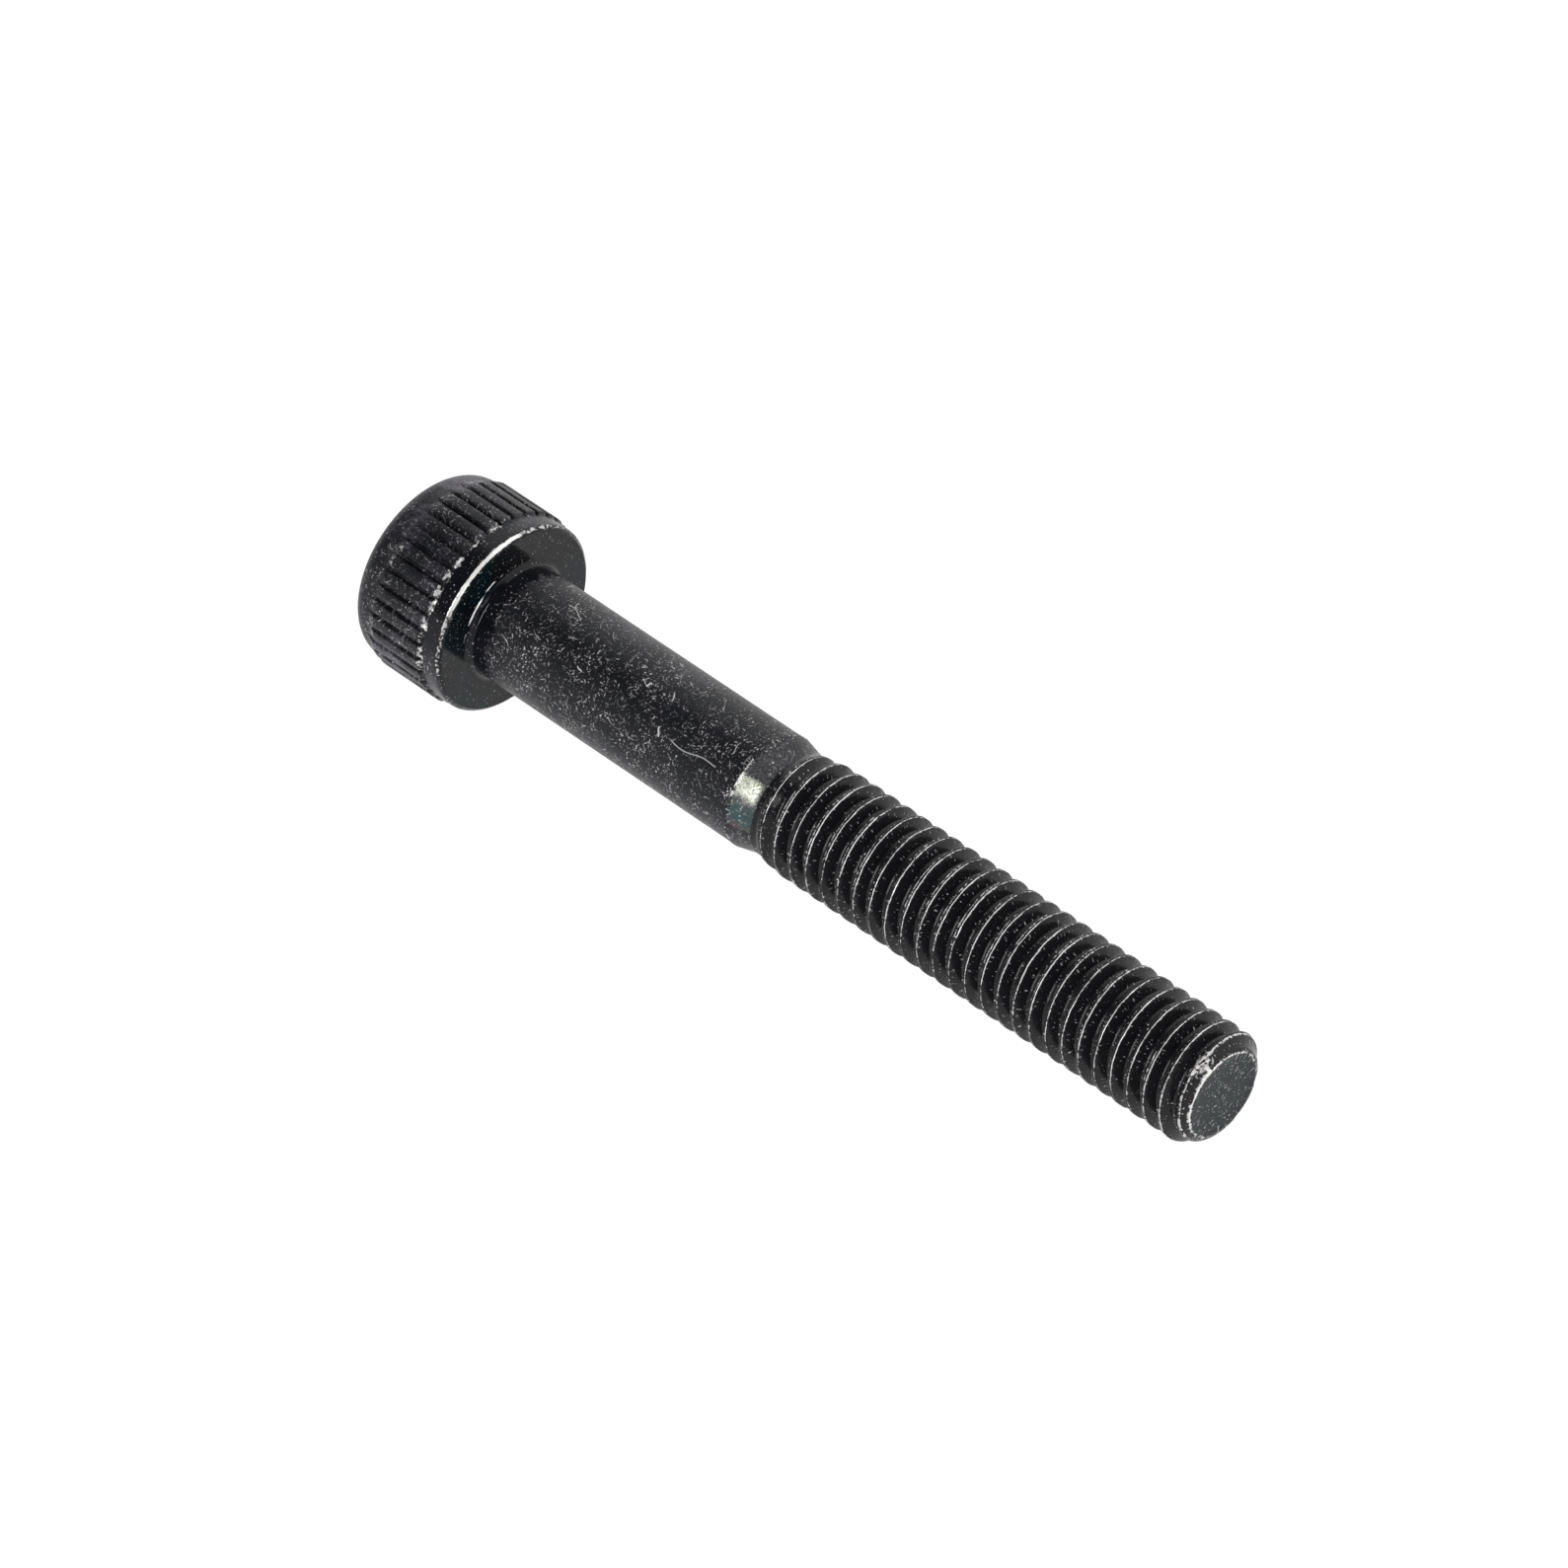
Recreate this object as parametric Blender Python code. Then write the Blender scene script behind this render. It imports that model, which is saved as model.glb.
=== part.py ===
"""Hexagon socket head cap screw, M6 x 45, partly threaded, black oxide steel.

One solid piece. Axis along +X, head at -X, point at +X, origin at the middle of the bounding box.
Lengths along the axis are written from the bearing face under the head, in millimetres.
"""

import math

import bmesh
import bpy

MM = 0.001

# Overall
LENGTH = 45.0
HEAD_HEIGHT = 6.0

# Head
COLLAR_R = 4.90
KNURL_CREST_R = 5.06
KNURL_ROOT_R = 4.80
KNURL_FLUTES = 38
KNURL_LAND = 0.60
KNURL_START = -4.40
KNURL_END = -1.22
COLLAR_START = -1.08
TOP_ROUND = 1.0
HEAD_BODY_R = 4.87
BEARING_EDGE = 0.10

# Hexagon socket
HEX_AF = 5.0
HEX_DEPTH = 3.2
HEX_MOUTH_R = 3.02
HEX_CHAMFER = 0.22
HEX_FLOOR_R = 2.30
HEX_FLOOR_CONE = 0.55
HEX_SIDE_STEPS = 4

# Shank, neck and thread
SHANK_R = 2.91
UNDERHEAD_R = 3.36
LIP_R = 2.93
LIP_AT = 16.72
NECK_R = 2.63
NECK_AT = 18.0
PITCH = 1.0
THREAD_R = 2.935
ROOT_R = 2.39
CREST_FLAT = 0.14
ROOT_FLAT = 0.25
THREAD_PHASE = 0.29
FADE_END = 20.0
POINT_R = 2.20
POINT_CHAMFER = 0.85
SEGMENTS = 28

CENTRE_X = (LENGTH - HEAD_HEIGHT) / 2


def clear_scene():
    for thing in list(bpy.data.objects):
        bpy.data.objects.remove(thing, do_unlink=True)


def steel():
    slot = bpy.data.materials.new("black_oxide_steel")
    slot.use_nodes = True
    shader = slot.node_tree.nodes["Principled BSDF"]
    shader.inputs["Base Color"].default_value = (0.018, 0.018, 0.020, 1.0)
    shader.inputs["Metallic"].default_value = 0.6
    shader.inputs["Roughness"].default_value = 0.35
    return slot


def vert(bm, x, r, angle):
    y = r * math.cos(angle)
    z = r * math.sin(angle)
    return bm.verts.new(((x - CENTRE_X) * MM, y * MM, z * MM))


def ring(bm, x, r, angles):
    """A loop of points around the axis, with one radius or one radius for each angle."""
    radii = r if isinstance(r, list) else [r] * len(angles)
    return [vert(bm, x, rad, a) for rad, a in zip(radii, angles)]


def band(bm, a, b):
    """Quads between two loops of the same count; b lies towards +X of a, seen from outside."""
    n = len(a)
    for i in range(n):
        j = (i + 1) % n
        bm.faces.new((a[i], a[j], b[j], b[i]))


def stitch(bm, a, b, key):
    """Triangles between two open rows of points, always taking the step that key ranks lower."""
    i = 0
    j = 0
    while i < len(a) - 1 or j < len(b) - 1:
        step_a = key(a[i + 1], b[j]) if i < len(a) - 1 else math.inf
        step_b = key(a[i], b[j + 1]) if j < len(b) - 1 else math.inf
        if step_a <= step_b:
            bm.faces.new((a[i], a[i + 1], b[j]))
            i += 1
        else:
            bm.faces.new((a[i], b[j + 1], b[j]))
            j += 1


def annulus(bm, outer, inner):
    """Triangles between two flat loops of different counts that start near the same angle."""
    a = outer + [outer[0]]
    b = inner + [inner[0]]
    i = 0
    j = 0
    while i < len(outer) or j < len(inner):
        next_a = (i + 1) / len(outer) if i < len(outer) else math.inf
        next_b = (j + 1) / len(inner) if j < len(inner) else math.inf
        if next_a <= next_b:
            bm.faces.new((a[i], a[i + 1], b[j]))
            i += 1
        else:
            bm.faces.new((a[i], b[j + 1], b[j]))
            j += 1


def head_angles():
    """Three columns to a flute: the root, then the two edges of the ridge after it."""
    step = 2 * math.pi / KNURL_FLUTES
    half = KNURL_LAND / 2
    angles = []
    for k in range(KNURL_FLUTES):
        angles.append(k * step)
        angles.append((k + 0.5 - half) * step)
        angles.append((k + 0.5 + half) * step)
    return angles


def head_outside(bm, angles):
    """The rounded top edge, the knurled band and the smooth collar, as loops from top to bearing face."""
    loops = []
    for k in range(5):
        a = math.radians(22.5 * k)
        x = -HEAD_HEIGHT + TOP_ROUND * (1 - math.cos(a))
        r = HEAD_BODY_R - TOP_ROUND * (1 - math.sin(a))
        loops.append(ring(bm, x, r, angles))
    knurl = [KNURL_ROOT_R, KNURL_CREST_R, KNURL_CREST_R] * KNURL_FLUTES
    loops.append(ring(bm, KNURL_START, knurl, angles))
    loops.append(ring(bm, KNURL_END, knurl, angles))
    loops.append(ring(bm, COLLAR_START, COLLAR_R, angles))
    loops.append(ring(bm, -BEARING_EDGE, COLLAR_R, angles))
    loops.append(ring(bm, 0.0, COLLAR_R - BEARING_EDGE, angles))
    for a, b in zip(loops, loops[1:]):
        band(bm, a, b)
    return loops[0], loops[-1]


def hexagon(bm, x, grow):
    """The socket's outline: equal steps along each of the six sides."""
    corner = (HEX_AF / 2 + grow) / math.cos(math.pi / 6)
    points = []
    for side in range(6):
        a0 = side * math.pi / 3
        a1 = a0 + math.pi / 3
        for k in range(HEX_SIDE_STEPS):
            t = k / HEX_SIDE_STEPS
            y = corner * ((1 - t) * math.cos(a0) + t * math.cos(a1))
            z = corner * ((1 - t) * math.sin(a0) + t * math.sin(a1))
            points.append(vert(bm, x, math.hypot(y, z), math.atan2(z, y)))
    return points


def socket(bm, top_loop):
    """The recess in the head: chamfered mouth, six walls, and a shallow cone for a floor."""
    count = 6 * HEX_SIDE_STEPS
    even = [2 * math.pi * k / count for k in range(count)]
    top = -HEAD_HEIGHT
    mouth = ring(bm, top, HEX_MOUTH_R, even)
    throat = hexagon(bm, top + HEX_CHAMFER, 0.0)
    corner = hexagon(bm, top + HEX_DEPTH, 0.0)
    floor = ring(bm, top + HEX_DEPTH + 0.05, HEX_FLOOR_R, even)
    annulus(bm, mouth, top_loop)
    band(bm, throat, mouth)
    band(bm, corner, throat)
    band(bm, floor, corner)
    tip = vert(bm, top + HEX_DEPTH + HEX_FLOOR_CONE, 0.0, 0.0)
    for k in range(count):
        bm.faces.new((floor[k], tip, floor[(k + 1) % count]))


def crest_line(x):
    """Radius the ridges reach at x: they grow out of the neck and are cut away by the point's chamfer."""
    grown = NECK_R + (THREAD_R - NECK_R) * min(1.0, max(0.0, (x - NECK_AT + 0.45) / (FADE_END - NECK_AT)))
    cone = POINT_R + (LENGTH - x) * (THREAD_R - POINT_R) / POINT_CHAMFER
    return min(grown, cone, THREAD_R)


def root_line(x):
    sunk = NECK_R - (NECK_R - ROOT_R) * min(1.0, max(0.0, (x - NECK_AT - 0.2) / 1.4))
    return min(sunk, crest_line(x))


def plain_rows():
    """The turned part of a lengthwise row: under-head fillet, shank, lip and neck."""
    rows = []
    fillet = UNDERHEAD_R - SHANK_R
    for k in range(4):
        a = math.radians(30 * k)
        rows.append((fillet * (1 - math.cos(a)), UNDERHEAD_R - fillet * math.sin(a)))
    rows.append((LIP_AT - 0.5, SHANK_R))
    rows.append((LIP_AT, LIP_R))
    rows.append((NECK_AT, NECK_R))
    return rows


def thread_rows(angle):
    """The threaded part of a lengthwise row, where the ridge stands one pitch further on each turn."""
    rows = []
    turn = THREAD_PHASE + angle / (2 * math.pi)
    first = int(NECK_AT) - 2
    for k in range(first, int(LENGTH) + 2):
        middle = k + turn * PITCH
        stations = (
            (middle - CREST_FLAT / 2, crest_line),
            (middle + CREST_FLAT / 2, crest_line),
            (middle + (PITCH - ROOT_FLAT) / 2, root_line),
            (middle + (PITCH + ROOT_FLAT) / 2, root_line),
        )
        for x, line in stations:
            if NECK_AT + 0.05 < x < LENGTH - 0.05:
                rows.append((x, line(x)))
    return rows


def apart(a, b):
    return (a.co - b.co).length


def shank_and_thread(bm):
    """Lengthwise rows around the axis, each joined to the next. Gives back the loops at both ends."""
    angles = [2 * math.pi * (k + 0.5) / SEGMENTS for k in range(SEGMENTS)]
    columns = []
    for angle in angles:
        rows = plain_rows() + thread_rows(angle) + [(LENGTH, POINT_R)]
        columns.append([vert(bm, x, r, angle) for x, r in rows])
    for k in range(SEGMENTS):
        stitch(bm, columns[k], columns[(k + 1) % SEGMENTS], apart)
    return [c[0] for c in columns], [c[-1] for c in columns]


def screw(slot):
    bm = bmesh.new()
    angles = head_angles()
    top_loop, bearing_loop = head_outside(bm, angles)
    socket(bm, top_loop)
    under_loop, point_loop = shank_and_thread(bm)
    annulus(bm, bearing_loop, under_loop)
    bm.faces.new(point_loop)
    bmesh.ops.recalc_face_normals(bm, faces=bm.faces)
    bmesh.ops.triangulate(bm, faces=bm.faces)
    mesh = bpy.data.meshes.new("socket_head_cap_screw")
    bm.to_mesh(mesh)
    bm.free()
    mesh.materials.append(slot)
    mesh.shade_smooth()
    mesh.set_sharp_from_angle(angle=math.radians(28))
    thing = bpy.data.objects.new("socket_head_cap_screw", mesh)
    bpy.context.collection.objects.link(thing)
    return thing


clear_scene()
screw(steel())
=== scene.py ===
"""Looks of the M6 x 45 socket head cap screw: black oxide steel, dusty, worn bright on its edges, with
painted highlights on the edges and crests that face the camera and painted sheen on its sides.

The screw lies along +X, head at -X. Lengths in the shape code are millimetres from the bearing face.
Angles go round the axis from +Y towards +Z.
"""

import math

import bmesh
import bpy
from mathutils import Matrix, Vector


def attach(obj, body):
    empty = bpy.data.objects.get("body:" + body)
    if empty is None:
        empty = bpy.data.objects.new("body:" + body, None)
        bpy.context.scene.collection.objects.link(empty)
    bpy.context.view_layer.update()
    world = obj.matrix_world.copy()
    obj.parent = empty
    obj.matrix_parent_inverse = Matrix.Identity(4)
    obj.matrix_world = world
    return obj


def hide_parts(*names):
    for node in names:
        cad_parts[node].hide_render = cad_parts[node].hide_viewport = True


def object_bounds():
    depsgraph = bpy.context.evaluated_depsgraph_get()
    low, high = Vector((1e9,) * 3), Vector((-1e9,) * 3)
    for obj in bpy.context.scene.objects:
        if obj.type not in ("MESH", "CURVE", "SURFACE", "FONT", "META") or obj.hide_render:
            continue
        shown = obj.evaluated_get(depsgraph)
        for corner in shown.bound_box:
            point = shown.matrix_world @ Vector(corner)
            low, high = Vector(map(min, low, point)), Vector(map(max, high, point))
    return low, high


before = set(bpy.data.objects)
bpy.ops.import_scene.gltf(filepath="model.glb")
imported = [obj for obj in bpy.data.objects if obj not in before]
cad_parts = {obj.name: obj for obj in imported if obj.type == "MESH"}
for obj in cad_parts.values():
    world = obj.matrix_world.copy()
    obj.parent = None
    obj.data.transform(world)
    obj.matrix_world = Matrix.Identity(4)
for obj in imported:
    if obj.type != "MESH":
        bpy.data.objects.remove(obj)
cad_lo, cad_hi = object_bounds()

MM = 0.001
CENTRE_X = 19.5
TAU = 2 * math.pi

# ---------------------------------------------------------------- shape

LENGTH = 45.0
HEAD_HEIGHT = 6.0
COLLAR_R = 4.90
KNURL_CREST_R = 5.06
KNURL_ROOT_R = 4.80
KNURL_FLUTES = 38
KNURL_START = -4.62
KNURL_END = -1.15
TOP_ROUND = 1.0
HEAD_BODY_R = 4.87
HEX_AF = 5.0
HEX_DEPTH = 3.2
HEX_MOUTH_R = 3.02
SHANK_R = 2.91
UNDERHEAD_R = 3.24
LIP_AT = 16.72
LIP_R = 2.932
NECK_AT = 18.0
NECK_R = 2.63
PITCH = 1.0
THREAD_R = 2.935
ROOT_R = 2.39
THREAD_PHASE = 0.29
FADE_END = 20.0
POINT_R = 2.20
POINT_CHAMFER = 0.85
LAST_TURN = 0.95
NICK_HIGHLIGHT_LENGTH = 0.8

# Just inside the CAD box.
LIMIT_Y = 5.056
LIMIT_Z = 5.053

SHANK_COLUMNS = 150
FLUTE_STEPS = (0.0, 0.06, 0.12, 0.17, 0.22, 0.32, 0.5, 0.68, 0.78, 0.83, 0.88, 0.94)
KNURL_STATIONS = (-4.85, -4.7, -4.55, -4.4, -4.2, -3.8, -3.4, -3.0, -2.6, -2.2, -1.8, -1.5, -1.32, -1.24)

# The middle of the side that faces the camera, in degrees round the axis.
VIEWED = 127.7

# Where on the way round each kind of wear and painted highlight is strongest, in radians; the painted
# highlights sit near the side facing the camera.
KNURL_WEAR_HIGHLIGHT_AT = 2.35
FADED_KNURL_AT = 2.0
EDGE_WEAR_HIGHLIGHT_AT = 2.0
SHORT_ARC_AT = 2.02
LONG_ARC_AT = 2.42
LIP_WEAR_HIGHLIGHT_AT = 2.30
CREST_WEAR_HIGHLIGHT_AT = 2.1
NICK_HIGHLIGHT_AT = 2.02
POINT_WEAR_HIGHLIGHT_AT = 2.3


def wave(s, seed):
    """A smooth, repeatable irregular value between about -1 and 1 at distance s."""
    total = 0.0
    for k in range(5):
        f = 0.9 * 1.83**k + 0.13 * seed
        total += math.sin(s * f + seed * 1.7 + k * 2.1 + 1.3 * math.sin(s * f * 0.37 + k)) / (1 + 0.45 * k)
    return total / 2.4


def clamp(t):
    return min(1.0, max(0.0, t))


def smooth(t):
    t = clamp(t)
    return t * t * (3 - 2 * t)


def hump(value, middle, width, rise=1.0):
    """1 at the middle, falling smoothly to 0; a rise above 1 makes its top flat."""
    return smooth(rise - abs(value - middle) / width)


def near_to(angle, middle):
    """1 at the middle angle, 0 on the other side of the screw."""
    return 0.5 + 0.5 * math.cos(angle - middle)


def crest_line(x):
    grown = NECK_R + (THREAD_R - NECK_R) * clamp((x - NECK_AT + 0.45) / (FADE_END - NECK_AT))
    t = clamp((LENGTH - x) / POINT_CHAMFER)
    rounded = POINT_R + (THREAD_R - POINT_R) * (1 - (1 - t) ** 2.1)
    return min(grown, rounded, THREAD_R)


def root_line(x):
    sunk = NECK_R - (NECK_R - ROOT_R) * clamp((x - NECK_AT - 0.2) / 1.4)
    return min(sunk, crest_line(x))


# Half of the ridge's outline: offset from its middle, share of the depth, seam depth, wear with painted
# highlight.
RIDGE = (
    (0.0, 1.0, 1.0, 0.0),
    (0.034, 1.0, 0.8, 0.25),
    (0.056, 1.0, 0.1, 0.95),
    (0.080, 1.0, 0.1, 1.0),
    (0.100, 0.96, 0.0, 0.45),
    (0.113, 0.91, 0.0, 0.0),
    (0.250, 0.47, 0.0, 0.0),
    (0.385, 0.04, 0.0, 0.0),
    (0.440, 0.0, 0.0, 0.0),
)


def crest_wear_and_highlight(side, s, near):
    """Wear with painted highlight of a crest's lip at distance s along the helix, on its side towards the
    point (1) or head (-1); the highlight is strongest on the side facing the camera.
    """
    if side > 0:
        return 0.36 + 0.86 * near**4 + 0.24 * wave(s * 0.30, 12)
    return 0.85 * near**5 * smooth(0.40 + 0.8 * wave(s * 0.16, 10))


def thread_rows(angle):
    """The thread's points (x, r, wear with painted highlight) along one line at this angle."""
    rows = []
    turn = THREAD_PHASE + angle / TAU
    # Painted highlight: the crests' wear is made much stronger on the side facing the camera, where they
    # catch the light.
    near = near_to(angle, CREST_WEAR_HIGHLIGHT_AT)
    for k in range(int(NECK_AT) - 2, int(LENGTH) + 2):
        middle = k + turn * PITCH
        s = (k + turn) * TAU * THREAD_R
        seam = 0.045 * smooth(0.6 + 0.9 * wave(s * 0.09, 3))
        for side in (-1, 1):
            lip = 0.008 * wave(s * 0.9, 5 + side) - 0.004
            stray = 0.016 * wave(s * 1.1, 20 + side)
            rub_and_highlight = crest_wear_and_highlight(side, s, near)
            half = RIDGE if side > 0 else RIDGE[:0:-1]
            for offset, share, dip, worn_and_highlit in half:
                x = middle + side * offset * PITCH + stray * (0.03 < offset < 0.12)
                if not NECK_AT + 0.03 < x < LENGTH - 0.02:
                    continue
                low = root_line(x)
                height = crest_line(x) - low
                shown = clamp(height / 0.10)
                r = low + height * share
                if share == 1.0:
                    fade = clamp(height / 0.3)
                    r = r - seam * dip * fade + lip * fade
                worn_and_highlit *= rub_and_highlight * shown
                if x > LENGTH - LAST_TURN:
                    on_lip = share == 1.0 and (side < 0) == (middle > LENGTH - 0.42)
                    worn_and_highlit = shown * (1.0 - offset * 6 if on_lip else 0.4 * worn_and_highlit)
                # Near the point a small dent, and a painted highlight: a bright jagged patch on the side
                # facing the camera.
                if x > LENGTH - NICK_HIGHLIGHT_LENGTH:
                    nick_and_highlight = hump(angle, NICK_HIGHLIGHT_AT, 0.28, 1.3) * (0.5 + 0.6 * wave(s * 2.5 + x * 17, 19))
                    worn_and_highlit = max(worn_and_highlit, 1.3 * nick_and_highlight)
                    r -= 0.02 * nick_and_highlight * (x < LENGTH - 0.1)
                rows.append((x, min(r, THREAD_R), worn_and_highlit))
        x = middle + 0.5 * PITCH
        if NECK_AT + 0.03 < x < LENGTH - 0.02:
            rows.append((x, root_line(x) - 0.01, 0.0))
    return rows


def shank_rows(angle):
    """The points (x, r, wear with painted highlight) of fillet, shank, lip and neck along one line at this
    angle.
    """
    fillet = UNDERHEAD_R - SHANK_R
    # Painted highlights: two thin bright arcs on the fillet and bearing face near the side facing the camera;
    # the rubbing of the fillet's edge is made stronger there too.
    long_arc = hump(angle, LONG_ARC_AT, 0.20, 1.6)
    short_arc = hump(angle, SHORT_ARC_AT, 0.09, 1.6)
    broken = 0.5 * smooth(0.3 + wave(angle * 5.0, 16)) * smooth(1.3 * math.cos(angle - KNURL_WEAR_HIGHLIGHT_AT) - 0.2)
    rub_and_highlight = max(long_arc, broken)
    rows = [
        (0.0, UNDERHEAD_R + 0.17, 0.0),
        (0.0, UNDERHEAD_R + 0.13, 1.3 * short_arc),
        (0.03 * short_arc, UNDERHEAD_R + 0.095, 1.2 * short_arc),
        (0.0, UNDERHEAD_R + 0.075, 1.3 * rub_and_highlight),
        (0.05 * long_arc, UNDERHEAD_R + 0.02, 1.3 * rub_and_highlight),
    ]
    for k in range(10):
        a = math.radians(10 * k)
        rows.append((fillet * (1 - math.cos(a)), UNDERHEAD_R - fillet * math.sin(a), rub_and_highlight * (k == 0)))
    x = fillet + 0.4
    while x < LIP_AT - 0.6:
        rows.append((x, SHANK_R + 0.002 * wave(x + 3 * math.cos(angle), 9), 0.0))
        x += 0.9
    ragged = 0.04 * wave(angle * 4.0, 7)
    # Rubbing of the lip, with a painted highlight added on the side facing the camera.
    rub_and_highlight = 0.5 + 0.5 * wave(angle * 6.0, 13) + 0.9 * hump(angle, LIP_WEAR_HIGHLIGHT_AT, 0.35, 1.2)
    neck_start = LIP_AT + 0.05
    neck_top = LIP_R - 0.018
    neck_run = NECK_AT - LIP_AT - 0.05
    neck_drop = NECK_R - LIP_R + 0.018
    rows.append((LIP_AT - 0.35, SHANK_R + 0.004, 0.0))
    rows.append((LIP_AT - 0.10 + ragged, LIP_R - 0.006, 0.0))
    rows.append((LIP_AT + ragged, LIP_R, 0.7 * rub_and_highlight))
    rows.append((neck_start + ragged, neck_top, 0.4 * rub_and_highlight))
    for t in (0.12, 0.3, 0.5, 0.75, 1.0):
        rows.append((neck_start + neck_run * t, neck_top + neck_drop * t, 0.0))
    return rows


def point_rows(angle):
    """The points (x, r, wear with painted highlight) round the rim of the shallow dish at the end."""
    # Rubbing of the rim, with a painted highlight made stronger towards the side facing the camera.
    rub_and_highlight = 0.75 + 0.5 * math.cos(angle - POINT_WEAR_HIGHLIGHT_AT) + 0.25 * wave(angle * 5.0, 15)
    return [
        (LENGTH - 0.012, POINT_R - 0.035, rub_and_highlight),
        (LENGTH, POINT_R - 0.10, 0.5 * rub_and_highlight),
        (LENGTH - 0.005, POINT_R - 0.18, 0.0),
        (LENGTH - 0.02, POINT_R - 0.36, 0.0),
    ]


# Where each part of the skin lies on the flat sheet, in millimetres, and the radius it is unrolled at.
SHEET = 47.0
CHARTS = {
    "shank": ("roll", 0.6, 0.5, 2.91),
    "head": ("roll", 0.5, 20.2, 4.9),
    "top": ("disc", 41.5, 27.2, 0.0),
    "bearing": ("disc", 5.7, 33.9, 0.0),
    "point": ("disc", 14.6, 32.0, 0.0),
    "hex": ("roll", 26.0, 29.5, 2.7),
    "floor": ("disc", 21.6, 32.0, 0.0),
}


class Skin:
    """Collects points and faces and makes one closed mesh of them.

    Each point keeps its place (x, r, angle) and its wear with painted highlight; each face keeps the chart it
    is drawn on.
    """

    def __init__(self):
        self.points = []
        self.faces = []
        self.wear_and_highlight = []
        self.place = []
        self.chart = "head"
        self.charts = []

    def add(self, x, r, angle, wear_and_highlight=0.0):
        y = r * math.cos(angle)
        z = r * math.sin(angle)
        self.points.append((x, min(LIMIT_Y, max(-LIMIT_Y, y)), min(LIMIT_Z, max(-LIMIT_Z, z))))
        self.wear_and_highlight.append(wear_and_highlight)
        self.place.append((x, r, angle % TAU))
        return len(self.points) - 1

    def face(self, *corners):
        self.faces.append(corners)
        self.charts.append(self.chart)

    def ring(self, x, radii, angles, wear_and_highlight=0.0):
        if not isinstance(radii, list):
            radii = [radii] * len(angles)
        if not isinstance(wear_and_highlight, list):
            wear_and_highlight = [wear_and_highlight] * len(angles)
        return [self.add(x, r, a, w) for r, a, w in zip(radii, angles, wear_and_highlight)]

    def band(self, a, b):
        n = len(a)
        for i in range(n):
            j = (i + 1) % n
            self.face(a[i], a[j], b[j], b[i])

    def annulus(self, outer, inner):
        a = outer + [outer[0]]
        b = inner + [inner[0]]
        i = 0
        j = 0
        while i < len(outer) or j < len(inner):
            next_a = (i + 1) / len(outer) if i < len(outer) else math.inf
            next_b = (j + 1) / len(inner) if j < len(inner) else math.inf
            if next_a <= next_b:
                self.face(a[i], a[i + 1], b[j])
                i += 1
            else:
                self.face(a[i], b[j + 1], b[j])
                j += 1

    def stitch(self, a, b):
        p = self.points
        i = 0
        j = 0
        while i < len(a) - 1 or j < len(b) - 1:
            step_a = math.dist(p[a[i + 1]], p[b[j]]) if i < len(a) - 1 else math.inf
            step_b = math.dist(p[a[i]], p[b[j + 1]]) if j < len(b) - 1 else math.inf
            if step_a <= step_b:
                self.face(a[i], a[i + 1], b[j])
                i += 1
            else:
                self.face(a[i], b[j + 1], b[j])
                j += 1

    def flat(self, chart, corners):
        """Places on the flat sheet of one face's corners."""
        kind, u, v, radius = CHARTS[chart]
        places = [self.place[c] for c in corners]
        if kind == "disc":
            return [(u + r * math.cos(a), v + r * math.sin(a)) for x, r, a in places]
        turns = [a for x, r, a in places]
        if max(turns) - min(turns) > math.pi:
            turns = [a + TAU if a < math.pi else a for a in turns]
        out = []
        for (x, r, _), a in zip(places, turns):
            if chart == "head":
                if x < -HEAD_HEIGHT / 2:
                    along = x - 0.6 * max(0.0, HEAD_BODY_R - r)
                else:
                    along = x + 0.6 * max(0.0, COLLAR_R - r)
                out.append((u + radius * a, v + HEAD_HEIGHT + along))
            elif chart == "hex":
                out.append((u + radius * a, v + HEAD_HEIGHT + x))
            else:
                out.append((u + x, v + radius * a))
        return out

    def mesh(self, name):
        mesh = bpy.data.meshes.new(name)
        metres = [((x - CENTRE_X) * MM, y * MM, z * MM) for x, y, z in self.points]
        mesh.from_pydata(metres, [], self.faces)
        bm = bmesh.new()
        bm.from_mesh(mesh)
        bmesh.ops.recalc_face_normals(bm, faces=bm.faces)
        bm.to_mesh(mesh)
        bm.free()
        mesh.attributes.new("wear_and_highlight", "FLOAT", "POINT").data.foreach_set("value", self.wear_and_highlight)
        layer = mesh.uv_layers.new(name="OFBake")
        flat = []
        for polygon, chart in zip(mesh.polygons, self.charts):
            for u, v in self.flat(chart, polygon.vertices):
                flat.append(u / SHEET)
                flat.append(v / SHEET)
        layer.data.foreach_set("uv", flat)
        return mesh


def knurl_radius(v, amount):
    """Radius at position v of one flute, 0 to 1, where 0 is the middle of a groove."""
    d = min(v, 1 - v)
    groove = smooth((d - 0.05) / 0.13)
    crown = KNURL_CREST_R - 0.02 * (1 - smooth((d - 0.15) / 0.2))
    full = KNURL_ROOT_R + (crown - KNURL_ROOT_R) * groove
    return HEAD_BODY_R + (full - HEAD_BODY_R) * amount


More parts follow.
